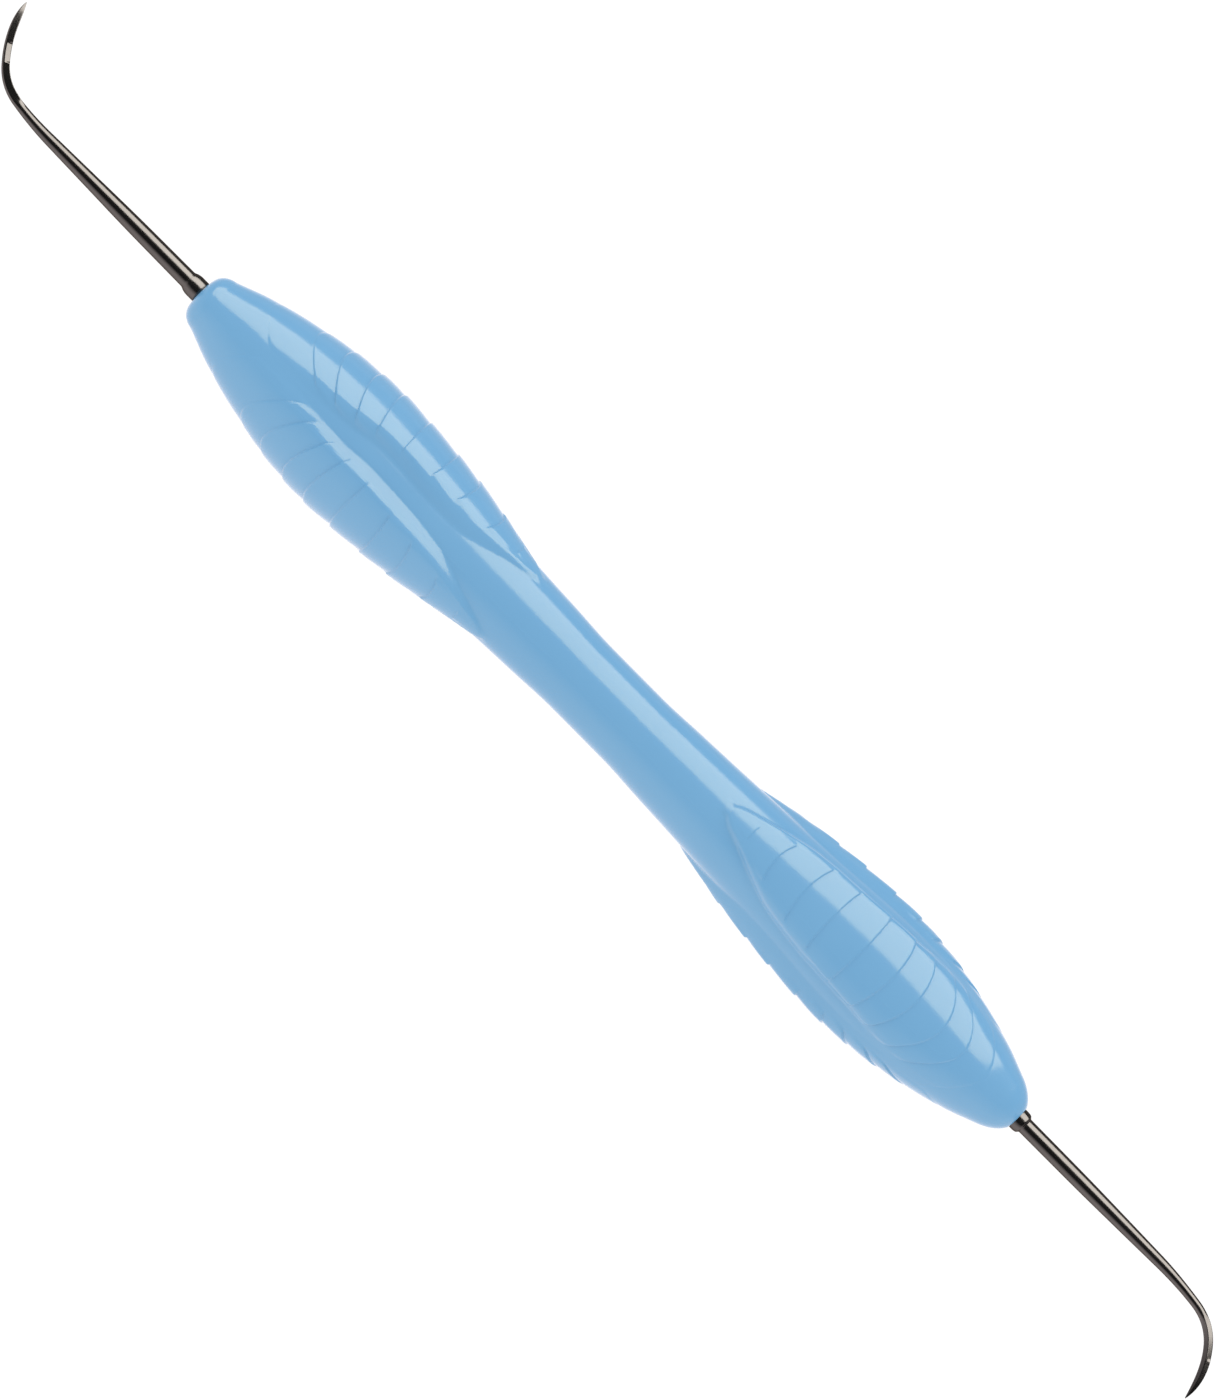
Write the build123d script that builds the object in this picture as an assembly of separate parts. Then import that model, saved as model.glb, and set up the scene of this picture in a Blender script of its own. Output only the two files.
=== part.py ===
from build123d import *
import os

# A double-ended dental hand scaler, in millimetres.
# Frame: +X along the handle, +Y across it in the plane of the two hooks, +Z up.
# Origin: the middle of the handle, on its axis. It lies on its grip pads.
# "left" is the -X end and "right" is the +X end.

# Grip: a silicone sleeve with a slim neck and a swelling at each end.
grip_half_length = 52.05
neck_radius = 3.83
neck_half_length = 3.0
grip_radius = 6.55
pad_start = 13.2
nose_start = 50.1
nose_radius = 2.9
nose_hole_radius = 1.08
nose_face_radius = 1.25
nose_shoulder = (51.35, 2.18)
nose_slope = -0.39
# Radius of the grip at distances from the middle, over the tops of the pads.
pad_profile = [
    (8.0, 4.0),
    (pad_start, 4.31),
    (17.0, 4.96),
    (22.0, 5.69),
    (28.0, 6.3),
    (32.4, grip_radius),
    (37.0, 6.15),
    (42.0, 5.31),
    (47.0, 4.04),
]

# Three channels between the three leaf-shaped pads of each swelling.
pads_per_end = 3
pad_spacing = 360 / pads_per_end
left_channel_angle = 90.0
right_channel_angle = 30.0
channel_end = 42.5
# Radius of the channel floor at distances from the middle.
floor_profile = [
    (pad_start, 4.31),
    (18.0, 4.66),
    (24.0, 5.26),
    (30.0, 5.86),
    (36.0, 5.92),
    (channel_end, 5.21),
]
# Half the width of a channel, seen face on, at distances from the middle.
channel_half_widths = [
    (pad_start - 0.3, 3.8),
    (14.6, 2.95),
    (20.0, 2.36),
    (30.0, 1.69),
    (38.0, 1.0),
]
channel_tool_radius = 8.0

# Core: one rigid plastic moulding inside the sleeve, bored through.
core_half_length = 50.6
core_end_radius = 1.95
core_profile = [
    (0.0, 2.45),
    (12.0, 2.7),
    (24.0, 3.9),
    (32.0, 4.4),
    (40.0, 3.85),
    (core_half_length, core_end_radius),
]
core_bore_radius = 1.2
key_ring_stations = [9.0, 17.0, 25.0, 39.0, 44.0]
key_ring_width = 1.6
key_ring_depth = 0.5

# Sockets: steel bushes moulded into the ends of the core, closed inside.
socket_radius = 1.5
socket_length = 15.0
socket_bore_depth = 13.4
socket_key_stations = [3.0, 8.0]
socket_key_width = 1.2
socket_key_depth = 0.2

# Tips: one-piece steel, a tang, a shoulder collar, a tapered shank and a hook.
tang_radius = 0.95
tang_length = 12.5
tang_groove_stations = [2.5, 5.5, 8.5]
tang_groove_width = 0.8
tang_groove_depth = 0.12
tang_chamfer = 0.25
collar_radius = 1.08
hook_root_radius = 0.56
blade_point = 0.05
# Each tip: where its collar ends, its shank's radii, where its hook starts, and
# the hook's lead-in, bend and blade as arcs, each a radius and a turn.
left_tip = {
    "collar_end": 53.0,
    "shank": [(53.5, 0.86), (60.0, 0.81), (66.0, 0.68)],
    "hook_start": 71.15,
    "hook": [(32.0, 8.0), (5.1, 39.0), (11.4, 31.0)],
}
right_tip = {
    "collar_end": 52.65,
    "shank": [(53.2, 0.78), (60.0, 0.75), (66.0, 0.65)],
    "hook_start": 70.4,
    "hook": [(37.5, 8.0), (5.3, 42.5), (7.9, 38.0)],
}
# How the section narrows along each arc of a hook: the radii that the arc ends
# with, in the hook's plane and across it, and how late in the arc it narrows.
hook_stages = [
    {"depth": 0.43, "width": 0.46, "lateness": 1.0, "steps": 5},
    {"depth": 0.375, "width": 0.43, "lateness": 1.0, "steps": 8},
    {"depth": blade_point, "width": blade_point, "lateness": 4.6, "steps": 14},
]


def turned(points_curve, closing):
    """Turn a closed profile, drawn as distance along X and radius, about X."""
    outline = make_face(points_curve + closing)
    return revolve(outline, axis=Axis.X, revolution_arc=360)


def half_turned_grip():
    """One end of the grip, with no channels: neck, swelling and blunt nose."""
    neck = Line((0, neck_radius), (neck_half_length, neck_radius))
    swell = Spline(
        [(neck_half_length, neck_radius)] + pad_profile + [(nose_start, nose_radius)],
        tangents=[(1, 0), (1, nose_slope)],
    )
    nose = Spline(
        [(nose_start, nose_radius), nose_shoulder, (grip_half_length, nose_face_radius)],
        tangents=[(1, nose_slope), (0, -1)],
    )
    face = Line((grip_half_length, nose_face_radius), (grip_half_length, 0))
    axis = Line((grip_half_length, 0), (0, 0))
    middle = Line((0, 0), (0, neck_radius))
    return turned(neck + swell + nose, face + axis + middle)


def channel_tool():
    """What one channel takes away from the +X swelling, facing +Z."""
    floor = Spline(floor_profile)
    end = Line(floor_profile[-1], (channel_end, channel_tool_radius))
    top = Line((channel_end, channel_tool_radius), (pad_start, channel_tool_radius))
    start = Line((pad_start, channel_tool_radius), floor_profile[0])
    ring = turned(floor, end + top + start)
    tip = (channel_end, 0)
    upper = Spline(channel_half_widths + [tip])
    lower = Spline([(x, -y) for x, y in channel_half_widths] + [tip])
    mouth_x, mouth_y = channel_half_widths[0]
    mouth = Line((mouth_x, mouth_y), (mouth_x, -mouth_y))
    plan = make_face(upper + lower + mouth)
    return ring & extrude(plan, amount=channel_tool_radius + 1)


def core_radius(station):
    """The core's outside radius at a distance from the middle."""
    for (x0, r0), (x1, r1) in zip(core_profile, core_profile[1:]):
        if station <= x1:
            return r0 + (r1 - r0) * (station - x0) / (x1 - x0)
    return core_end_radius


def turned_ring(station, width, outer_radius, inner_radius):
    """A ring round the X axis, centred at a distance from the middle."""
    ring = Cylinder(outer_radius, width) - Cylinder(inner_radius, width)
    return Pos(station, 0, 0) * (Rot(0, 90, 0) * ring)


def core_blank():
    """The core's outside with its keying rings, and no bore."""
    side = Polyline(*core_profile)
    end = Line(core_profile[-1], (core_half_length, 0))
    axis = Line((core_half_length, 0), (0, 0))
    middle = Line((0, 0), core_profile[0])
    half = turned(side, end + axis + middle)
    for station in key_ring_stations:
        radius = core_radius(station)
        half -= turned_ring(station, key_ring_width, radius + 1, radius - key_ring_depth)
    return half + mirror(half, about=Plane.YZ)


def grip_sleeve(core):
    """The silicone sleeve, moulded over the core and round its ends."""
    half = half_turned_grip()
    sleeve = half + mirror(half, about=Plane.YZ)
    right_tool = channel_tool()
    left_tool = mirror(right_tool, about=Plane.YZ)
    for turn in range(pads_per_end):
        spin = turn * pad_spacing
        sleeve -= Rot(right_channel_angle - 90 + spin, 0, 0) * right_tool
        sleeve -= Rot(left_channel_angle - 90 + spin, 0, 0) * left_tool
    sleeve -= core
    hole = Rot(0, 90, 0) * Cylinder(nose_hole_radius, 2 * grip_half_length + 1)
    return sleeve - hole


def bore_tool():
    """The core's through bore, with a wider seat at each end for a socket."""
    light_bore = Rot(0, 90, 0) * Cylinder(core_bore_radius, 2 * core_half_length)
    seat = Rot(0, 90, 0) * Cylinder(socket_radius, socket_length)
    seat_middle = core_half_length - socket_length / 2
    return light_bore + Pos(seat_middle, 0, 0) * seat + Pos(-seat_middle, 0, 0) * seat


def tip_socket():
    """One steel bush for the +X end, closed at its inner end."""
    bush = Cylinder(socket_radius, socket_length)
    bore = Cylinder(tang_radius, socket_bore_depth)
    bush -= Pos(0, 0, (socket_length - socket_bore_depth) / 2) * bore
    middle = core_half_length - socket_length / 2
    bush = Pos(middle, 0, 0) * (Rot(0, 90, 0) * bush)
    for station in socket_key_stations:
        start = core_half_length - socket_length + station
        bush -= turned_ring(start, socket_key_width, socket_radius + 1, socket_radius - socket_key_depth)
    return bush


def hook_section(arc, share, width, depth):
    """An oval section across an arc, at a share of its length."""
    plane = Plane(origin=arc @ share, x_dir=(0, 0, 1), z_dir=arc % share)
    return plane * Ellipse(width, depth)


def hook(start, arcs):
    """A hook from its root on the X axis, turning towards +Y."""
    root = (start, 0)
    heading = (1, 0)
    width = hook_root_radius
    depth = hook_root_radius
    sections = [hook_section(Line(root, (start + 1, 0)), 0, width, depth)]
    for (radius, turn), stage in zip(arcs, hook_stages):
        arc = JernArc(root, heading, radius, turn)
        for step in range(stage["steps"]):
            share = (step + 1) / stage["steps"]
            narrowing = share ** stage["lateness"]
            section_width = width + (stage["width"] - width) * narrowing
            section_depth = depth + (stage["depth"] - depth) * narrowing
            sections.append(hook_section(arc, share, section_width, section_depth))
        root = arc @ 1
        heading = arc % 1
        width = stage["width"]
        depth = stage["depth"]
    return loft(sections, ruled=True)


def scaler_tip(sizes):
    """One tip for the +X end, with its hook turning towards +Y."""
    tang_start = core_half_length - tang_length
    hook_start = sizes["hook_start"]
    outline = Polyline(
        (tang_start, 0),
        (tang_start, tang_radius - tang_chamfer),
        (tang_start + tang_chamfer, tang_radius),
        (core_half_length, tang_radius),
        (core_half_length, collar_radius),
        (sizes["collar_end"], collar_radius),
        *sizes["shank"],
        (hook_start, hook_root_radius),
        (hook_start, 0),
        (tang_start, 0),
    )
    stem = revolve(make_face(outline), axis=Axis.X, revolution_arc=360)
    for station in tang_groove_stations:
        start = tang_start + station
        stem -= turned_ring(start, tang_groove_width, tang_radius + 1, tang_radius - tang_groove_depth)
    return stem + hook(hook_start, sizes["hook"])


def write_part(node, solid):
    """Write one sub-part to its own STEP file."""
    solid.label = node
    export_step(solid, os.path.join("parts", node + ".step"))


os.makedirs("parts", exist_ok=True)
core_shape = core_blank()
socket = tip_socket()
write_part("grip_sleeve", grip_sleeve(core_shape))
write_part("handle_core", core_shape - bore_tool())
write_part("tip_socket_left", mirror(socket, about=Plane.YZ))
write_part("tip_socket_right", socket)
write_part("scaler_tip_left", mirror(scaler_tip(left_tip), about=Plane.YZ))
write_part("scaler_tip_right", mirror(scaler_tip(right_tip), about=Plane.XZ))
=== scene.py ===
"""Looks for the double-ended dental hand scaler: silicone grip, two steel tips, floor, light and camera."""
import math

import bpy
import numpy as np
from mathutils import Matrix, Vector


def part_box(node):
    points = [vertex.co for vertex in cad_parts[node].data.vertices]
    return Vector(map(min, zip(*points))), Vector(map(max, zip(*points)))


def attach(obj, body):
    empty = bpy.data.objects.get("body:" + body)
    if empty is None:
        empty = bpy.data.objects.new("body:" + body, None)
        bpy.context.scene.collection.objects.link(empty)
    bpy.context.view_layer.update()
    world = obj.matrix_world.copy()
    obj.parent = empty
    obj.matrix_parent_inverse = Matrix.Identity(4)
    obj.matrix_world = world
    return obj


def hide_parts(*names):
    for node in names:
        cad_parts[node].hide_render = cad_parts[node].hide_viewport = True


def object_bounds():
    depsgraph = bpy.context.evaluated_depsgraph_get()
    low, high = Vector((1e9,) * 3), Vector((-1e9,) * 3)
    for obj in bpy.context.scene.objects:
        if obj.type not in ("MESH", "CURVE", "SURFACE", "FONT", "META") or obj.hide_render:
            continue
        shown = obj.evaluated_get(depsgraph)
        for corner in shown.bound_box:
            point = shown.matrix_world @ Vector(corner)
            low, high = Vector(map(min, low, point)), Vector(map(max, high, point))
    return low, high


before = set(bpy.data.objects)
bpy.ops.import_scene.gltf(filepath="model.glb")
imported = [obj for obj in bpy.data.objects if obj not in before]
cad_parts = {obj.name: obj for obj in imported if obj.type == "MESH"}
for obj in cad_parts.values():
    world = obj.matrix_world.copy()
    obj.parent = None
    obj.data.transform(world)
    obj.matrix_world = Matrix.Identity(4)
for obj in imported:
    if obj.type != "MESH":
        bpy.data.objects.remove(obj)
cad_low, cad_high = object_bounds()

# Shapes are worked out in millimetres along the handle, and meshes are in metres.
MM = 0.001

# ---------------------------------------------------------------- driving sizes
# Angles round the handle are in degrees, from +Y at 0 to +Z at 90. Where a change grows or fades, its
# pair is its start and its length.
HALF_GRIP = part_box("grip_sleeve")[1].x / MM

# Radius over the tops of the pads, by distance from the middle of the handle.
PAD_TOP_AT = [0.0, 3.0, 8.0, 12.2, 14.3, 17.0, 22.0, 28.0, 32.4, 37.0, 42.0, 47.0, 50.1]
PAD_TOP = [3.83, 3.83, 4.07, 4.47, 4.68, 5.06, 5.72, 6.24, 6.43, 6.12, 5.32, 4.07, 2.93]

# Noses: where both start, then each one's two pull points and end, as distance along and radius. Then
# the tip's hole, with one row of the mesh between its lip and the core, and the depth of its lip.
NOSE_START = (50.1, 2.93)
LEFT_NOSE = [(51.2, 2.75), (HALF_GRIP - 0.28, 2.1), (HALF_GRIP - 0.28, 1.2)]
RIGHT_NOSE = [(51.7, 2.314), (HALF_GRIP + 0.2, 1.3), (HALF_GRIP + 0.2, 1.2)]
HOLE_RADIUS = 1.085
HOLE_MIDDLE = 51.3
LIP_DEPTH = 0.18

# Radius of the floor that the pads stand on. Past its last points it is the pads' own curve.
FLOOR_AT = [0.0, 3.0, 8.0, 11.0, 14.3, 17.0, 20.0, 24.0, 28.0, 31.0, 34.0, 37.0, 40.0, 43.5]
FLOOR = [3.83, 3.83, 4.05, 4.18, 4.34, 4.5, 4.67, 4.95, 5.26, 5.47, 5.6, 5.66, 5.52, 5.0]

# Pads: three round each end, a sixth of a turn apart from end to end. At the right end one pad faces
# up, and the two beside it differ from it a little.
LEFT_PADS = (30.0, 150.0, 270.0)
RIGHT_PADS = (90.0, 210.0, 330.0)
FACING_PAD_HALF = 50.0
FACING_PAD_FADE = 20.0

# A pad's outline: half of its spread round the handle in degrees, by distance from the middle.
PAD_POINT = 14.3
PAD_OUTLINE_AT = [14.3, 14.5, 15.3, 17.3, 20.2, 23.3, 27.0, 31.0, 34.0, 35.5, 37.4, 40.0, 50.0]
PAD_OUTLINE = [0.0, 6.0, 13.0, 21.0, 32.0, 40.3, 43.0, 43.8, 44.6, 45.6, 47.3, 49.0, 54.0]

# How far a pad sits out from its usual place, and how far its centre line leans round, in degrees.
PAD_SHIFT_AT = [14.3, 24.0, 32.0, 38.0, 43.0]
LEFT_PAD_SHIFT = [-2.1, -2.4, -2.6, -2.9, -3.2]
RIGHT_SIDE_PAD_SHIFT = -1.05
SHIFT_GROWS = (8.0, 5.5)
SHIFT_FADES = (43.0, 7.1)
PAD_TURN_AT = [14.3, 17.3, 20.2, 23.3, 28.0, 33.0, 37.4, 40.0]
LEFT_PAD_TURN = [10.5, 7.7, 6.1, 4.6, 2.6, 1.4, 4.6, 5.4]
RIGHT_PAD_TURN = [-5.7, -3.8, -1.8, -0.3, 1.2, 1.2, 1.2, 1.2]
RIGHT_SIDE_PAD_TURN = 3.0

# A pad's flank: its width, the share of it outside the outline, and how rounded it is.
FLANK_AT = [14.3, 16.0, 18.0, 20.0, 23.0, 26.0, 32.0, 44.0]
FLANK_WIDTH = [0.35, 0.4, 0.6, 0.95, 1.4, 1.5, 1.4, 1.6]
RIGHT_SIDE_FLANK = 1.6
FLANK_OUTSIDE = 0.5
FLANK_ROUNDING = 0.35

# How much wider each swelling is along Y, at the left end (-1) and the right (1), and where along it.
SIDE_SWELL = {-1: 0.022, 1: 0.006}
SWELL_GROWS = (14.0, 14.0)
SWELL_FADES = (40.0, 10.0)

# Rib steps across the pads, by distance along the pad, and how their sides bow along it.
RIB_STATIONS = [14.6, 17.4, 20.5, 24.3, 27.7, 31.7, 35.3, 38.3, 41.7, 44.5, 47.4, 50.1]
RIB_BOW_AT = 31.7
RIB_BOW_THERE = -0.27
RIB_BOW_RATE = -0.19
RIB_BOW_ANGLE = 45.0
BOW_GROWS = (13.0, 5.0)
BOW_FADES = (45.0, 5.1)

# A rib's height, what a pad's sides add to it, its crown, how far every rib stands up, and the share
# of a rib where it starts and ends its drop.
RIB_STEP = 0.12
RIB_STEP_SIDE = 0.06
RIB_SIDE_ANGLE = 40.0
RIB_CROWN = 0.2
RIB_PLATEAU = 0.04
RIB_DROP_FROM = 0.94
RIB_DROP_TO = 0.995

# How far in from the rim the ribs end, and how their height grows and fades along a pad.
RIB_SCALLOP = 0.3
RIB_RIM = 0.4
RIB_INSET_AT = [14.0, 26.0, 31.0, 36.0]
RIB_INSET = [-0.5, -0.65, 0.0, 0.4]
RIB_ENVELOPE_AT = [14.6, 16.0, 20.5, 38.0, 43.0, 46.0, 49.0]
RIB_ENVELOPE = [0.0, 0.45, 1.0, 1.0, 0.75, 0.4, 0.0]

# The mould's parting line, a fine raised thread along both sides of the grip.
PARTING_ANGLES = (111.0, 291.0)
PARTING_HEIGHT = 0.012
PARTING_WIDTH = 0.06
PARTING_RADIUS = 5.0
PARTING_STRENGTH = 0.6
PARTING_WAVE = 0.4
PARTING_WAVE_RATES = (0.9, 0.37)

# Mesh rows along the neck, within each rib and round each nose, and columns round the grip.
NECK_ROWS = 25
RIB_ROWS = [0.0, 0.03, 0.1, 0.2, 0.32, 0.45, 0.58, 0.7, 0.81, 0.9, 0.945, 0.957, 0.97, 0.983, 0.994]
NOSE_ROWS = 13
LIP_ROWS = 5
GRIP_COLUMNS = 210
PARTING_COLUMNS = [-1.6, -1.0, -0.6, -0.3, 0.0, 0.3, 0.6, 1.0, 1.6]
COLUMN_GAP = 0.35

# Core inside the sleeve: its outside, which the sleeve's inside follows.
CORE_AT = [0.0, 12.0, 24.0, 32.0, 40.0, 50.6]
CORE_RADIUS = [2.45, 2.7, 3.9, 4.4, 3.85, 1.95]

# Tips, both alike: the turned tang and collar, the section where a hook bends and at its point.
TANG_START = 38.1
TANG_RADIUS = 0.95
TANG_CHAMFER = 0.25
COLLAR_START = 50.6
COLLAR_RADIUS = 1.08
COLLAR_EDGE_FROM = 0.35
COLLAR_EDGE_TO = 0.12
COLLAR_EDGE_DROP = 0.02
COLLAR_LIP = 0.06
LEAD_DEPTH = 0.43
LEAD_WIDTH = 0.45
POINT_DEPTH = 0.035
POINT_WIDTH = 0.03

# The blade's flats: how crisp their edges are, and how the hollow-ground pair and the outer pair change.
EDGE_CRISPNESS = 24.0
HOLLOW_FACING = 116.0
HOLLOW_AWAY = 2.0
HOLLOW_DEPTH = 1.42
HOLLOW_FADE = 0.18
FLANK_FADE = 0.25

# Mesh rows along a tip, columns round it, and steps along a hook's centre line.
FLARE_ROWS = 9
SHANK_ROWS = 39
SHANK_FIRST_ROW = 0.3
HOOK_ROWS = 190
TIP_COLUMNS = 96
HOOK_STEPS = 1600

# Each tip: distances along X, its shank's radii, and its hook's arcs as radius and turn in degrees.
# "ends" is the side of X and of Y that it is on. "hollow" is where its hollow grinding starts and ends,
# past the bend: 9.0 is past the point, so there is none. "flank" is the outer flats' facing before and
# after, their distance, and where past the bend they turn. "top" is the upper flats' facing and distance.
# "ground" is the share of the bend where the flats start and where they are full. "blade" is the blade's
# depth and width, and how late it narrows.
LEFT_TIP = {
    "collar_end": 53.0,
    "flare": 0.5,
    "shank_at": [53.5, 60.0, 66.0, 71.14],
    "shank": [0.86, 0.81, 0.68, 0.56],
    "hook_start": 71.14,
    "hook": [(32.0, 8.0), (5.1, 39.0), (11.4, 31.0)],
    "ends": (-1.0, 1.0),
    "hollow": (0.15, 2.1),
    "flank": (38.0, 38.0, 0.95, 0.0),
    "top": (84.0, 0.8),
    "ground": (-0.3, 0.15),
    "blade": (0.375, 0.42, 6.0),
}
RIGHT_TIP = {
    "collar_end": 53.0,
    "flare": 0.3,
    "shank_at": [53.2, 60.0, 66.0, 70.22],
    "shank": [0.78, 0.75, 0.65, 0.56],
    "hook_start": 70.22,
    "hook": [(37.5, 8.0), (5.3, 42.5), (7.9, 38.0)],
    "ends": (1.0, -1.0),
    "hollow": (9.0, 9.0),
    "flank": (71.0, 85.0, 0.84, 1.15),
    "top": (131.0, 0.76),
    "ground": (0.15, 0.55),
    "blade": (0.41, 0.42, 3.6),
}


# ---------------------------------------------------------------- number tools
def smooth_curve(x, at, values):
    """A curve through the given points with no overshoot.

    Cubic Hermite pieces, with each point's slope the harmonic mean of its neighbours' slopes,
    or level where the slope changes sign.
    """
    at = np.asarray(at, float)
    values = np.asarray(values, float)
    steps = np.diff(at)
    rises = np.diff(values) / steps
    before, after = rises[:-1], rises[1:]
    same_way = before * after > 0
    safe = np.where(same_way, before * after, 1.0)
    middle = np.where(same_way, 2 * safe / np.where(same_way, before + after, 1.0), 0.0)
    slopes = np.concatenate([[rises[0]], middle, [rises[-1]]])
    x = np.clip(x, at[0], at[-1])
    piece = np.clip(np.searchsorted(at, x, side="right") - 1, 0, len(steps) - 1)
    span = steps[piece]
    f = (x - at[piece]) / span
    lift = values[piece] * (2 * f ** 3 - 3 * f ** 2 + 1) + values[piece + 1] * (3 * f ** 2 - 2 * f ** 3)
    lean = slopes[piece] * (f ** 3 - 2 * f ** 2 + f) + slopes[piece + 1] * (f ** 3 - f ** 2)
    return lift + span * lean


def ease(f):
    """0 below 0, 1 above 1, and 3f^2 - 2f^3 between."""
    f = np.clip(f, 0.0, 1.0)
    return f * f * (3.0 - 2.0 * f)


def along_part(distance, grows, fades):
    """1 along a part, 0 before and past it: each change is eased, and is given by its start and length."""
    return ease((distance - grows[0]) / grows[1]) * (1.0 - ease((distance - fades[0]) / fades[1]))


def turn_between(a, b):
    """The angle from b to a in degrees, from -180 to 180."""
    return (a - b + 180.0) % 360.0 - 180.0


# ---------------------------------------------------------------- mesh tools
def ring_mesh(name, rows, loop_rows=False):
    """A mesh from rows of points, each row a closed ring.

    rows has shape (rows, points, 3), in millimetres. Row i and row i + 1 are joined by quads.
    With loop_rows the last row joins the first; otherwise each end is closed by a fan to its middle.
    """
    count, points = rows.shape[:2]
    flat = rows.reshape(-1, 3)
    index = np.arange(count * points).reshape(count, points)
    following = np.roll(index, -1, axis=1)
    if loop_rows:
        lower, upper = index, np.roll(index, -1, axis=0)
        lower_next, upper_next = following, np.roll(following, -1, axis=0)
    else:
        lower, upper = index[:-1], index[1:]
        lower_next, upper_next = following[:-1], following[1:]
    quads = np.stack([lower, lower_next, upper_next, upper], axis=-1).reshape(-1, 4)
    faces = quads.tolist()
    if not loop_rows:
        flat = np.concatenate([flat, rows[0].mean(axis=0)[None], rows[-1].mean(axis=0)[None]])
        first = np.full(points, count * points)
        last = np.full(points, count * points + 1)
        faces += np.stack([following[0], index[0], first], axis=-1).tolist()
        faces += np.stack([index[-1], following[-1], last], axis=-1).tolist()
    mesh = bpy.data.meshes.new(name)
    mesh.from_pydata((flat * MM).tolist(), [], faces)
    mesh.polygons.foreach_set("use_smooth", np.ones(len(mesh.polygons), bool))
    mesh.update()
    piece = bpy.data.objects.new(name, mesh)
    bpy.context.scene.collection.objects.link(piece)
    return piece


# ---------------------------------------------------------------- silicone grip
def pad_angle(theta, pads):
    """The signed angle from the nearest pad's centre line, in degrees."""
    gaps = np.stack([turn_between(theta, pad) for pad in pads])
    nearest = np.abs(gaps).argmin(axis=0)
    return np.take_along_axis(gaps, nearest[None], axis=0)[0]


def beside_facing_pad(theta):
    """0 over the right end's facing pad, 1 over the two beside it, eased across the channels."""
    return ease((np.abs(turn_between(theta, RIGHT_PADS[0])) - FACING_PAD_HALF) / FACING_PAD_FADE)


def pad_shift(rows, theta, side):
    """How far a pad sits out from its usual place, negative towards the middle: all alike on the left.

    On the right the facing pad keeps its place, with an eased change inside the channels beside it.
    """
    if side < 0:
        return smooth_curve(rows, PAD_SHIFT_AT, LEFT_PAD_SHIFT) + 0.0 * theta
    return RIGHT_SIDE_PAD_SHIFT * beside_facing_pad(theta) + 0.0 * rows


def pad_turn(rows, theta, side):
    """How far round a pad's centre line leans, in degrees: most at its point, little over the belly.

    On the right the facing pad leans the other way from the two beside it.
    """
    if side < 0:
        return smooth_curve(rows, PAD_TURN_AT, LEFT_PAD_TURN) + 0.0 * theta
    facing = smooth_curve(rows, PAD_TURN_AT, RIGHT_PAD_TURN)
    return facing + (RIGHT_SIDE_PAD_TURN - facing) * beside_facing_pad(theta)


def rib_height(along, angle, inside):
    """The stepped ribs: a straight rise over nearly a rib's whole length, then an eased sharp drop.

    A crown of 1 - (2f - 1) ** 2 is added, with f the share of the rib. The step grows with the square
    of the angle from the pad's middle. Each rib ends in a scallop at the rim.
    """
    stations = np.asarray(RIB_STATIONS)
    piece = np.clip(np.searchsorted(stations, along, side="right") - 1, 0, len(stations) - 2)
    f = (along - stations[piece]) / np.diff(stations)[piece]
    f = np.clip(f, 0.0, 1.0)
    drop = ease((f - RIB_DROP_FROM) / (RIB_DROP_TO - RIB_DROP_FROM))
    saw = np.minimum(f / RIB_DROP_FROM, 1.0) - drop - 0.5
    crown = 1.0 - (2.0 * f - 1.0) ** 2
    size = RIB_STEP + RIB_STEP_SIDE * (angle / RIB_SIDE_ANGLE) ** 2
    envelope = smooth_curve(along, RIB_ENVELOPE_AT, RIB_ENVELOPE)
    inset = smooth_curve(along, RIB_INSET_AT, RIB_INSET) - RIB_SCALLOP * (1.0 - crown)
    on_pad = ease((inside + inset) / RIB_RIM)
    return envelope * on_pad * (size * (saw + RIB_CROWN * crown) + RIB_PLATEAU)


def inside_pad(along, angle, radius):
    """Distance in from a pad's outline, in millimetres, negative outside it.

    The distance round the arc to the outline is divided by the root of 1 + w' ** 2, with w' the
    slope of the outline. Before the pad's point it is the distance to the point.
    """
    ahead = 0.1
    reach = smooth_curve(along, PAD_OUTLINE_AT, PAD_OUTLINE)
    growth = smooth_curve(along + ahead, PAD_OUTLINE_AT, PAD_OUTLINE) - reach
    slope = np.radians(growth) * radius / ahead
    from_middle = np.radians(np.abs(angle)) * radius
    beside = (np.radians(reach) * radius - from_middle) / np.sqrt(1.0 + slope ** 2)
    before = -np.hypot(np.minimum(along - PAD_POINT, 0.0), from_middle)
    return np.where(along < PAD_POINT, before, beside)


def row_stations():
    """Distances along the pads for the mesh rows: wide over the neck, close at each rib's step."""
    neck = np.linspace(0.0, RIB_STATIONS[0], NECK_ROWS, endpoint=False)
    starts = np.asarray(RIB_STATIONS[:-1])
    ribs = (starts[:, None] + np.diff(RIB_STATIONS)[:, None] * np.asarray(RIB_ROWS)[None]).ravel()
    return np.concatenate([neck, ribs, [RIB_STATIONS[-1]]])


def column_angles():
    """Angles of the mesh columns: even, with a few more beside each parting line."""
    even = np.linspace(0.0, 360.0, GRIP_COLUMNS, endpoint=False)
    extra = (np.asarray(PARTING_ANGLES)[:, None] + np.asarray(PARTING_COLUMNS)[None]).ravel()
    clear = np.abs(turn_between(even[:, None], extra[None])).min(axis=1) > COLUMN_GAP
    return np.sort(np.concatenate([even[clear], extra]))


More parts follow.
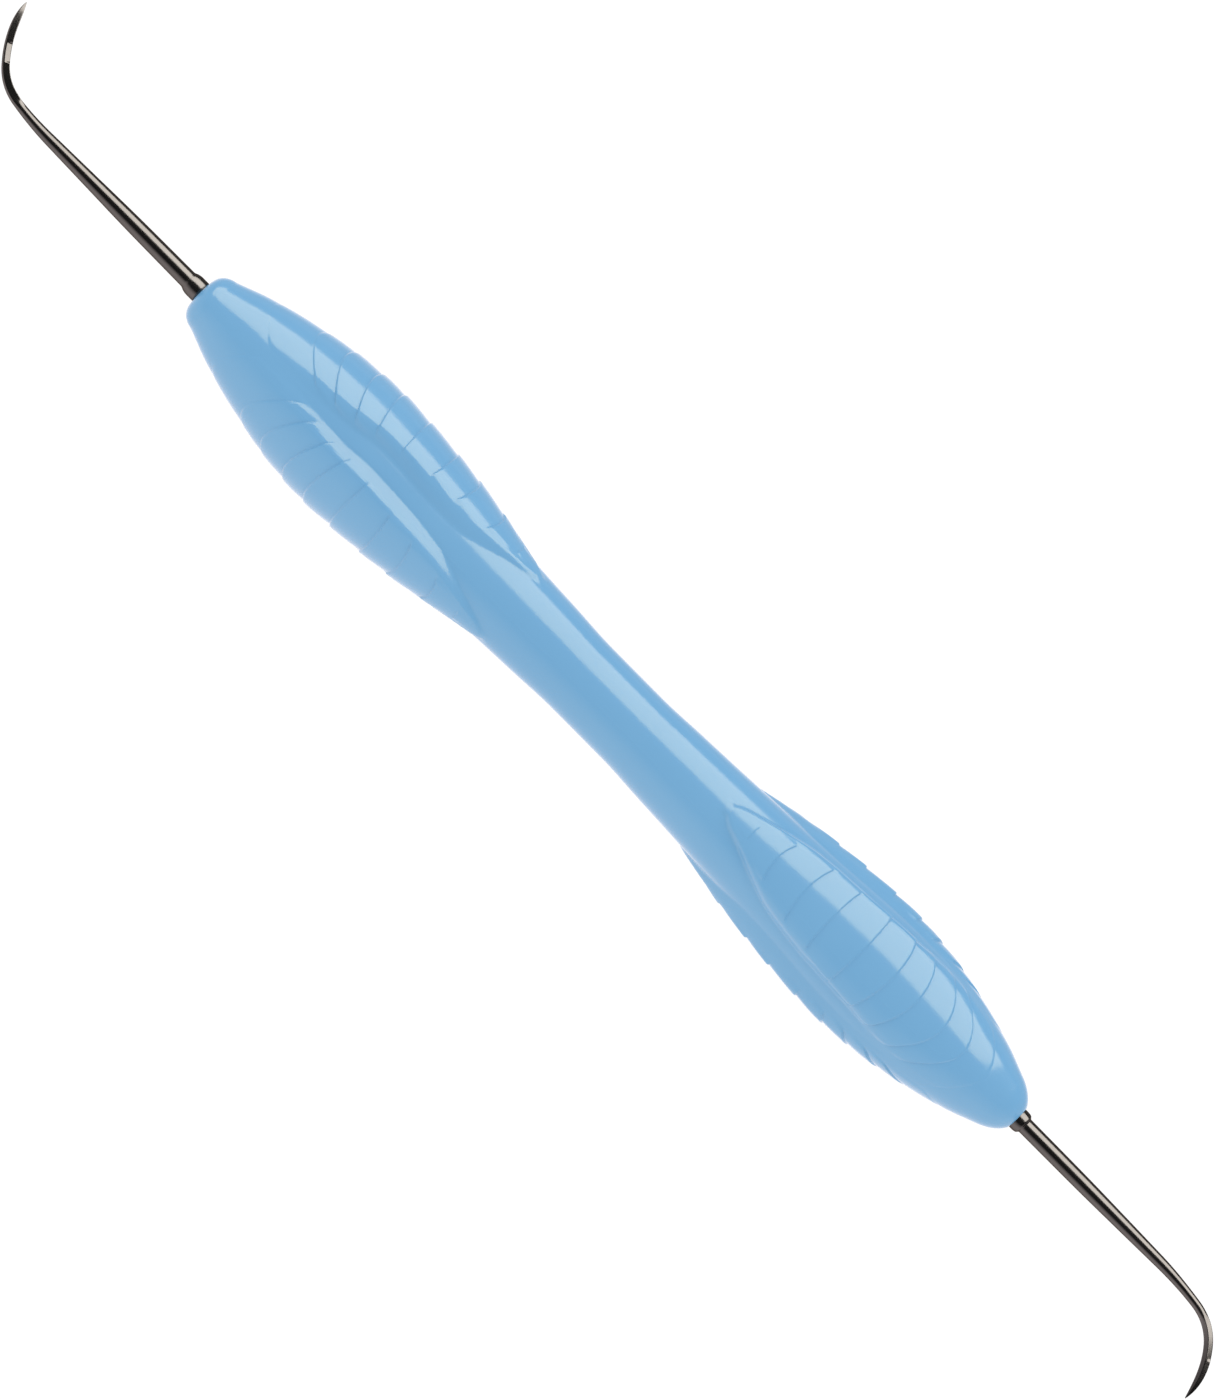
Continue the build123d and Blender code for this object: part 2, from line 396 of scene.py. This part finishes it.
def swelling(side, theta):
    """One end of the grip from the middle to the nose: distance along and radius, by row and column.

    Rows follow the ribs: distance is row + shift + bow * (angle / bow angle) ** 2, with shift and bow
    fading out on the neck and before the nose. The radius is the pads' tops, less the rise from the
    floor where it isn't up a flank, plus the ribs, widened by the swell times a cosine squared.
    """
    rows = row_stations()[:, None]
    theta = theta[None, :]
    pads = LEFT_PADS if side < 0 else RIGHT_PADS
    angle = pad_angle(theta - pad_turn(rows, theta, side), pads)
    shift = pad_shift(rows, theta, side) * along_part(rows, SHIFT_GROWS, SHIFT_FADES)
    bow = (RIB_BOW_THERE + RIB_BOW_RATE * (rows - RIB_BOW_AT)) * (angle / RIB_BOW_ANGLE) ** 2
    bow = bow * along_part(rows, BOW_GROWS, BOW_FADES)
    distance = rows + shift + bow
    along = distance - shift
    top = smooth_curve(distance, PAD_TOP_AT, PAD_TOP)
    floor = np.where(distance < FLOOR_AT[-1], smooth_curve(distance, FLOOR_AT, FLOOR), top)
    rise = np.maximum(top - floor, 0.0)
    inside = inside_pad(along, angle, top)
    flank = smooth_curve(along, FLANK_AT, FLANK_WIDTH)
    if side > 0:
        flank = flank * (1.0 + (RIGHT_SIDE_FLANK - 1.0) * beside_facing_pad(theta))
    up_flank = np.clip(inside / flank + FLANK_OUTSIDE, 0.0, 1.0)
    raised = FLANK_ROUNDING * ease(up_flank) + (1.0 - FLANK_ROUNDING) * up_flank
    ribs = rib_height(rows + 0.0 * angle, angle, inside)
    swell = SIDE_SWELL[side] * along_part(rows, SWELL_GROWS, SWELL_FADES)
    oval = 1.0 + swell * np.cos(np.radians(theta)) ** 2
    return distance, (top - rise * (1.0 - raised) + ribs) * oval


def nose(shape):
    """The blunt nose and the lip of its hole, as distance along and radius.

    A cubic pull curve (Bezier), then a quarter of an oval inwards, then the hole back to the core.
    """
    f = np.linspace(0.0, 1.0, NOSE_ROWS + 1)[1:, None]
    points = np.array([NOSE_START, *shape])
    end, face = shape[-1]
    weights = np.concatenate([(1 - f) ** 3, 3 * f * (1 - f) ** 2, 3 * f * f * (1 - f), f ** 3], axis=1)
    curve = weights @ points
    turn = np.linspace(0.0, math.pi / 2, LIP_ROWS + 1)[1:]
    lip_x = end - LIP_DEPTH * (1.0 - np.cos(turn))
    lip_r = face - (face - HOLE_RADIUS) * np.sin(turn)
    hole = np.array([[HOLE_MIDDLE, HOLE_RADIUS], [CORE_AT[-1], HOLE_RADIUS]])
    return np.concatenate([curve, np.stack([lip_x, lip_r], axis=1), hole])


def parting_thread(theta, distance):
    """A fine raised thread on both parting lines.

    Across a line it is a bell, exp of minus (distance / width) ** 2. Along it, it comes and goes as
    the product of two sines.
    """
    across = np.min(np.stack([np.abs(turn_between(theta, a)) for a in PARTING_ANGLES]), axis=0)
    arc = np.radians(across) * PARTING_RADIUS
    quick, slow = PARTING_WAVE_RATES
    wave = PARTING_WAVE * np.sin(distance * quick) * np.sin(distance * slow + 1.0)
    return PARTING_HEIGHT * (PARTING_STRENGTH + wave) * np.exp(-(arc / PARTING_WIDTH) ** 2)


def half_grip(side, theta):
    """All rows of one end from the middle outwards and into the nose's hole."""
    distance, radius = swelling(side, theta)
    radius = radius + parting_thread(theta[None, :], side * distance)
    tail = nose(LEFT_NOSE if side < 0 else RIGHT_NOSE)
    tail_x = np.repeat(tail[:, :1], len(theta), axis=1)
    tail_r = np.repeat(tail[:, 1:], len(theta), axis=1)
    return np.concatenate([distance, tail_x]), np.concatenate([radius, tail_r])


def make_grip():
    """The silicone sleeve: outside from nose to nose, then back along the core, as one closed skin.

    A point is its distance along X, and its radius times the cosine and sine of its column's angle.
    """
    theta = column_angles()
    left_x, left_r = half_grip(-1, theta)
    right_x, right_r = half_grip(1, theta)
    inner_x = np.concatenate([-np.asarray(CORE_AT[:0:-1]), CORE_AT])[::-1]
    inner_r = np.concatenate([CORE_RADIUS[:0:-1], CORE_RADIUS])[::-1]
    x = np.concatenate([-left_x[:0:-1], right_x, np.repeat(inner_x[:, None], len(theta), axis=1)])
    r = np.concatenate([left_r[:0:-1], right_r, np.repeat(inner_r[:, None], len(theta), axis=1)])
    turn = np.radians(theta)[None, :]
    rows = np.stack([x, r * np.cos(turn), r * np.sin(turn)], axis=-1)
    return ring_mesh("silicone_grip", rows, loop_rows=True)


# ---------------------------------------------------------------- steel tips
def arc_lengths(tip):
    """Lengths of a hook's arcs, each its radius times its turn."""
    return [radius * math.radians(turn) for radius, turn in tip["hook"]]


def hook_path(tip, stations):
    """Centre line of a tip by distance along it from the hook's start: x, y and heading.

    Straight before the start, then one arc after another: the heading grows evenly along each
    arc, and x and y are its cosine and sine summed along the way.
    """
    lengths = arc_lengths(tip)
    turns = [math.radians(turn) for _, turn in tip["hook"]]
    fine = np.linspace(0.0, sum(lengths), HOOK_STEPS)
    heading = np.interp(fine, np.cumsum([0.0] + lengths), np.cumsum([0.0] + turns))
    step = fine[1] - fine[0]
    middle = (heading[:-1] + heading[1:]) / 2
    x = np.concatenate([[0.0], np.cumsum(np.cos(middle) * step)])
    y = np.concatenate([[0.0], np.cumsum(np.sin(middle) * step)])
    on_hook = np.clip(stations, 0.0, None)
    start = tip["hook_start"]
    place_x = start + np.minimum(stations, 0.0) + np.interp(on_hook, fine, x)
    return place_x, np.interp(on_hook, fine, y), np.interp(on_hook, fine, heading)


def stem_rows(tip):
    """Distances along X and radii of the turned part: tang, collar, flare and tapered shank.

    The flare eases from the collar's lip to the shank's first radius.
    """
    end, flare = tip["collar_end"], tip["flare"]
    profile = [
        (TANG_START, TANG_RADIUS - TANG_CHAMFER),
        (TANG_START + TANG_CHAMFER, TANG_RADIUS),
        (COLLAR_START, TANG_RADIUS),
        (COLLAR_START, COLLAR_RADIUS),
        (end - COLLAR_EDGE_FROM, COLLAR_RADIUS),
        (end - COLLAR_EDGE_TO, COLLAR_RADIUS - COLLAR_EDGE_DROP),
    ]
    turned_x, turned_r = np.array(profile).T
    f = np.linspace(0.0, 1.0, FLARE_ROWS)
    lip = COLLAR_RADIUS - COLLAR_LIP
    flare_x = end + flare * f
    flare_r = lip + (tip["shank"][0] - lip) * ease(f)
    first = tip["shank_at"][0] + SHANK_FIRST_ROW
    shank_x = np.linspace(first, tip["hook_start"], SHANK_ROWS, endpoint=False)
    shank_r = smooth_curve(shank_x, tip["shank_at"], tip["shank"])
    return np.concatenate([turned_x, flare_x, shank_x]), np.concatenate([turned_r, flare_r, shank_r])


def blade_shape(turn, past_bend, tip):
    """Section of the blade: flat inner and outer faces, and two flats above and two below.

    With c the cosine of the angle off each flat's facing, d its distance from the middle and n the
    crispness, it is the sum of (c / d) ** n, to the power of -1 / n. The left blade has another
    hollow-ground pair along part of it, and the right blade's outer flats turn a little past its bend.
    """
    start, end = tip["hollow"]
    inward = HOLLOW_AWAY - HOLLOW_DEPTH * along_part(past_bend, (start, HOLLOW_FADE), (end, HOLLOW_FADE))
    before, after, flank, until = tip["flank"]
    outer = before + (after - before) * ease((past_bend - until) / FLANK_FADE)
    top, top_distance = tip["top"]
    total = 0.0
    for facing, distance in (
        (0.0, 1.0),
        (180.0, 1.0),
        (top, top_distance),
        (-top, top_distance),
        (outer, flank),
        (-outer, flank),
        (HOLLOW_FACING, inward),
        (-HOLLOW_FACING, inward),
    ):
        total = total + np.maximum(np.cos(turn - np.radians(facing)) / distance, 0.0) ** EDGE_CRISPNESS
    return total ** (-1.0 / EDGE_CRISPNESS)


def make_tip(name, tip):
    """One steel tip: a round stem, then a hook whose section turns from round to flats.

    A section stands across the centre line. It is its depth times the cosine and its width times the
    sine of each column's angle, both times a shape that blends from 1, round, to the blade's flats.
    """
    stem_x, stem_r = stem_rows(tip)
    lengths = arc_lengths(tip)
    along = np.concatenate([stem_x - tip["hook_start"], np.linspace(0.0, sum(lengths), HOOK_ROWS)])
    x, y, heading = hook_path(tip, along)
    lead, bend = lengths[0], lengths[0] + lengths[1]
    blade_depth, blade_width, lateness = tip["blade"]
    narrowed = np.clip((along - bend) / lengths[2], 0.0, 1.0) ** lateness
    depth = smooth_curve(along, [0.0, lead, bend], [tip["shank"][-1], LEAD_DEPTH, blade_depth])
    depth = depth * (1.0 - narrowed) + POINT_DEPTH * narrowed
    width = smooth_curve(along, [0.0, lead, bend], [tip["shank"][-1], LEAD_WIDTH, blade_width])
    width = width * (1.0 - narrowed) + POINT_WIDTH * narrowed
    depth[:len(stem_r)] = stem_r
    width[:len(stem_r)] = stem_r
    turn = np.linspace(0.0, 2 * math.pi, TIP_COLUMNS, endpoint=False)[None, :]
    start, full = tip["ground"]
    ground = ease(((along - lead) / (bend - lead) - start) / (full - start))[:, None]
    shape = (1.0 - ground) + blade_shape(turn, (along - bend)[:, None], tip) * ground
    out = depth[:, None] * shape * np.cos(turn)
    over = width[:, None] * shape * np.sin(turn)
    nx, ny = np.sin(heading)[:, None], -np.cos(heading)[:, None]
    end_x, end_y = tip["ends"]
    rows = np.stack([end_x * (x[:, None] + out * nx), end_y * (y[:, None] + out * ny), over], axis=-1)
    if end_x * end_y > 0:
        rows = rows[:, ::-1]
    return ring_mesh(name, rows)


# ---------------------------------------------------------------- shader tools
class Value:
    """A shader socket that Python's operators work on. Each operation adds one Math node."""

    def __init__(self, shader, socket):
        self.shader = shader
        self.socket = socket

    def math(self, operation, first, second):
        """One Math node on two values or numbers."""
        return self.shader.node("ShaderNodeMath", {"operation": operation}, {0: first, 1: second})

    def __add__(self, other):
        return self.math("ADD", self, other)

    def __mul__(self, other):
        return self.math("MULTIPLY", self, other)

    __radd__ = __add__
    __rmul__ = __mul__


class Shader:
    """A node tree being built, for a material or for the world."""

    def __init__(self, tree):
        self.tree = tree
        tree.nodes.clear()

    def node(self, kind, settings=None, inputs=None, output=0):
        """Add a node: its settings are set first, then its sockets are filled or linked.

        It gives the output asked for, by name or number, or nothing where the node has none.
        """
        made = self.tree.nodes.new(kind)
        for key, value in (settings or {}).items():
            setattr(made, key, value)
        for key, value in (inputs or {}).items():
            if isinstance(value, Value):
                self.tree.links.new(value.socket, made.inputs[key])
            else:
                made.inputs[key].default_value = value
        return Value(self, made.outputs[output]) if made.outputs else None

    def blend(self, factor, first, second):
        """A colour between two colours."""
        return self.node("ShaderNodeMix", {"data_type": "RGBA"}, {0: factor, 6: first, 7: second}, output=2)

    def noise(self, position, scale, detail=2.0):
        """Even noise from 0 to 1."""
        return self.node("ShaderNodeTexNoise", None, {"Vector": position, "Scale": scale, "Detail": detail})

    def ramp(self, value, start, end):
        """0 to 1 as the value goes from start to end, eased."""
        sockets = {"Value": value, "From Min": start, "From Max": end}
        return self.node("ShaderNodeMapRange", {"interpolation_type": "SMOOTHSTEP"}, sockets)

    def place(self, stretch=(1.0, 1.0, 1.0)):
        """Object coordinates, scaled along each axis."""
        coordinates = self.node("ShaderNodeTexCoord", output="Object")
        return self.node("ShaderNodeMapping", None, {"Vector": coordinates, "Scale": stretch})


def colour(red, green, blue):
    """An opaque colour."""
    return (red, green, blue, 1.0)


def surface(name, build):
    """A material whose surface is a Principled shader: build gives the sockets that it fills."""
    material = bpy.data.materials.new(name)
    material.use_nodes = True
    shader = Shader(material.node_tree)
    principled = shader.node("ShaderNodeBsdfPrincipled", None, build(shader))
    shader.node("ShaderNodeOutputMaterial", None, {"Surface": principled})
    return material


def silicone(shader):
    """Pale blue silicone: smooth and glossy, a little cloudy, with a fine moulded skin."""
    place = shader.place()
    cloud = shader.noise(place, 120.0)
    skin = shader.noise(place, 2600.0)
    wave = shader.noise(place, 260.0, 1.0)
    height = skin * 0.25 + wave * 0.75
    bump = shader.node("ShaderNodeBump", None, {"Strength": 0.06, "Distance": 0.0002, "Height": height})
    return {
        "Base Color": shader.blend(cloud, colour(0.172, 0.408, 0.668), colour(0.186, 0.428, 0.688)),
        "Roughness": cloud * 0.05 + 0.13,
        "IOR": 1.45,
        "Specular Tint": colour(1.0, 0.86, 0.42),
        "Normal": bump,
    }


def dark_steel(shader):
    """Steel with a dark hard coating: polished along its length, with fine grinding lines."""
    lines = shader.noise(shader.place((120.0, 2500.0, 2500.0)), 1.0)
    cloud = shader.noise(shader.place(), 500.0)
    bump = shader.node("ShaderNodeBump", None, {"Strength": 0.05, "Distance": 0.00005, "Height": lines})
    return {
        "Base Color": shader.blend(cloud, colour(0.105, 0.101, 0.099), colour(0.127, 0.122, 0.12)),
        "Metallic": 1.0,
        "Roughness": lines * 0.08 + 0.17,
        "Specular Tint": colour(0.35, 0.33, 0.3),
        "Normal": bump,
    }


def moulded_plastic(shader):
    """Plain light grey core plastic with a matt moulded grain."""
    grain = shader.noise(shader.place(), 3000.0)
    bump = shader.node("ShaderNodeBump", None, {"Strength": 0.2, "Distance": 0.0001, "Height": grain})
    return {
        "Base Color": shader.blend(grain, colour(0.66, 0.68, 0.7), colour(0.74, 0.76, 0.78)),
        "Roughness": grain * 0.1 + 0.45,
        "Normal": bump,
    }


def turned_steel(shader):
    """Bright steel with turning marks round the X axis."""
    marks = shader.noise(shader.place((6000.0, 60.0, 60.0)), 1.0)
    bump = shader.node("ShaderNodeBump", None, {"Strength": 0.2, "Distance": 0.00005, "Height": marks})
    return {
        "Base Color": shader.blend(marks, colour(0.56, 0.56, 0.54), colour(0.66, 0.66, 0.64)),
        "Metallic": 1.0,
        "Roughness": marks * 0.1 + 0.25,
        "Normal": bump,
    }


def floor_paint(shader):
    """Plain pale studio floor."""
    grain = shader.noise(shader.place(), 40.0)
    return {
        "Base Color": shader.blend(grain, colour(0.13, 0.13, 0.13), colour(0.15, 0.15, 0.15)),
        "Roughness": 0.9,
        "Specular IOR Level": 0.1,
        "Emission Color": colour(0.93, 0.93, 0.93),
        "Emission Strength": 1.0,
    }


# ---------------------------------------------------------------- studio
def make_floor():
    """A wide pale floor that the pads rest on."""
    reach, level = 3.0, cad_low.z
    corners = [(-reach, -reach, level), (reach, -reach, level), (reach, reach, level), (-reach, reach, level)]
    mesh = bpy.data.meshes.new("studio_floor")
    mesh.from_pydata(corners, [], [[0, 1, 2, 3]])
    floor = bpy.data.objects.new("studio_floor", mesh)
    bpy.context.scene.collection.objects.link(floor)
    floor.data.materials.append(surface("floor_paint", floor_paint))
    floor.visible_glossy = False


def make_world():
    """A pale surround: nearly even for soft light, and in the gloss dark overhead and pale at the sides."""
    world = bpy.data.worlds.new("studio_surround")
    bpy.context.scene.world = world
    world.use_nodes = True
    shader = Shader(world.node_tree)
    direction = shader.node("ShaderNodeTexCoord", output="Generated")
    up = shader.node("ShaderNodeSeparateXYZ", None, {"Vector": direction}, output="Z")
    side = shader.node("ShaderNodeSeparateXYZ", None, {"Vector": direction}, output="Y")
    overhead = shader.ramp(up + side * 0.55, 0.2, 0.45)
    horizon = shader.ramp(up + side * 0.8, 0.3, -0.7)
    beside = shader.blend(horizon, colour(0.32, 0.29, 0.29), colour(1.25, 1.13, 1.12))
    seen = shader.blend(overhead, beside, colour(0.03, 0.03, 0.032))
    lit = shader.blend(shader.ramp(side, -0.9, 0.7), colour(0.84, 0.84, 0.84), colour(1.1, 1.1, 1.1))
    glossy = shader.node("ShaderNodeLightPath", output="Is Glossy Ray")
    background = shader.blend(glossy, lit, seen)
    light = shader.node("ShaderNodeBackground", None, {"Color": background, "Strength": 1.05})
    shader.node("ShaderNodeOutputWorld", None, {"Surface": light})


def make_softbox():
    """The long softbox on the +Y side, seen in the gloss only."""
    low, high = math.radians(12.0), math.radians(68.5)
    left, right = -1.15, 0.62
    distance, radiance = 0.9, 5.2
    lower = Vector((0.0, distance * math.cos(low), distance * math.sin(low)))
    upper = Vector((0.0, distance * math.cos(high), distance * math.sin(high)))
    lamp = bpy.data.lights.new("softbox", "AREA")
    lamp.shape = "RECTANGLE"
    lamp.size = right - left
    lamp.size_y = (upper - lower).length
    lamp.color = (1.0, 0.95, 0.87)
    lamp.energy = radiance * math.pi * lamp.size * lamp.size_y
    box = bpy.data.objects.new("softbox", lamp)
    box.location = (lower + upper) / 2
    across = (upper - lower).normalized()
    facing = (-box.location).normalized()
    normal = (facing - across * facing.dot(across)).normalized()
    sideways = across.cross(-normal).normalized()
    box.rotation_euler = Matrix((sideways, across, -normal)).transposed().to_euler()
    box.location.x = (left + right) / 2
    box.visible_diffuse = False
    bpy.context.scene.collection.objects.link(box)


def make_camera():
    """A long lens above the instrument, leaning a little towards -Y, with the handle on a diagonal."""
    lean, diagonal = math.radians(9.0), math.radians(45.31)
    height_in_view, lens, sensor = 125.52 * MM, 200.0, 36.0
    aim_right, aim_up = -0.02 * MM, 0.3 * MM
    back = Vector((0.0, -math.sin(lean), math.cos(lean)))
    along = Vector((1.0, 0.0, 0.0))
    across = Vector((0.0, math.cos(lean), math.sin(lean)))
    right = along * math.cos(diagonal) + across * math.sin(diagonal)
    up = across * math.cos(diagonal) - along * math.sin(diagonal)
    aim = right * aim_right + up * aim_up
    data = bpy.data.cameras.new("camera")
    data.lens = lens
    data.sensor_width = sensor
    data.clip_start = 0.01
    data.clip_end = 20.0
    camera = bpy.data.objects.new("camera", data)
    camera.location = aim + back * (height_in_view * lens / sensor)
    camera.rotation_euler = Matrix((right, up, back)).transposed().to_euler()
    bpy.context.scene.collection.objects.link(camera)
    bpy.context.scene.camera = camera


# ---------------------------------------------------------------- the model
def dress(piece, material):
    """Give a piece or CAD node its one material."""
    piece.data.materials.clear()
    piece.data.materials.append(material)


make_camera()
grip = make_grip()
dress(grip, surface("silicone", silicone))
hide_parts("grip_sleeve")
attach(grip, "root")

tip_finish = surface("dark_steel", dark_steel)
for tip_name, node, sizes in (
    ("left_scaler_tip", "scaler_tip_left", LEFT_TIP),
    ("right_scaler_tip", "scaler_tip_right", RIGHT_TIP),
):
    steel_tip = make_tip(tip_name, sizes)
    dress(steel_tip, tip_finish)
    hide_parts(node)
    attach(steel_tip, "root")

dress(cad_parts["handle_core"], surface("moulded_plastic", moulded_plastic))
socket_finish = surface("turned_steel", turned_steel)
for node in ("tip_socket_left", "tip_socket_right"):
    dress(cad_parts[node], socket_finish)

make_floor()
make_world()
make_softbox()
bpy.context.scene.view_settings.view_transform = "Standard"
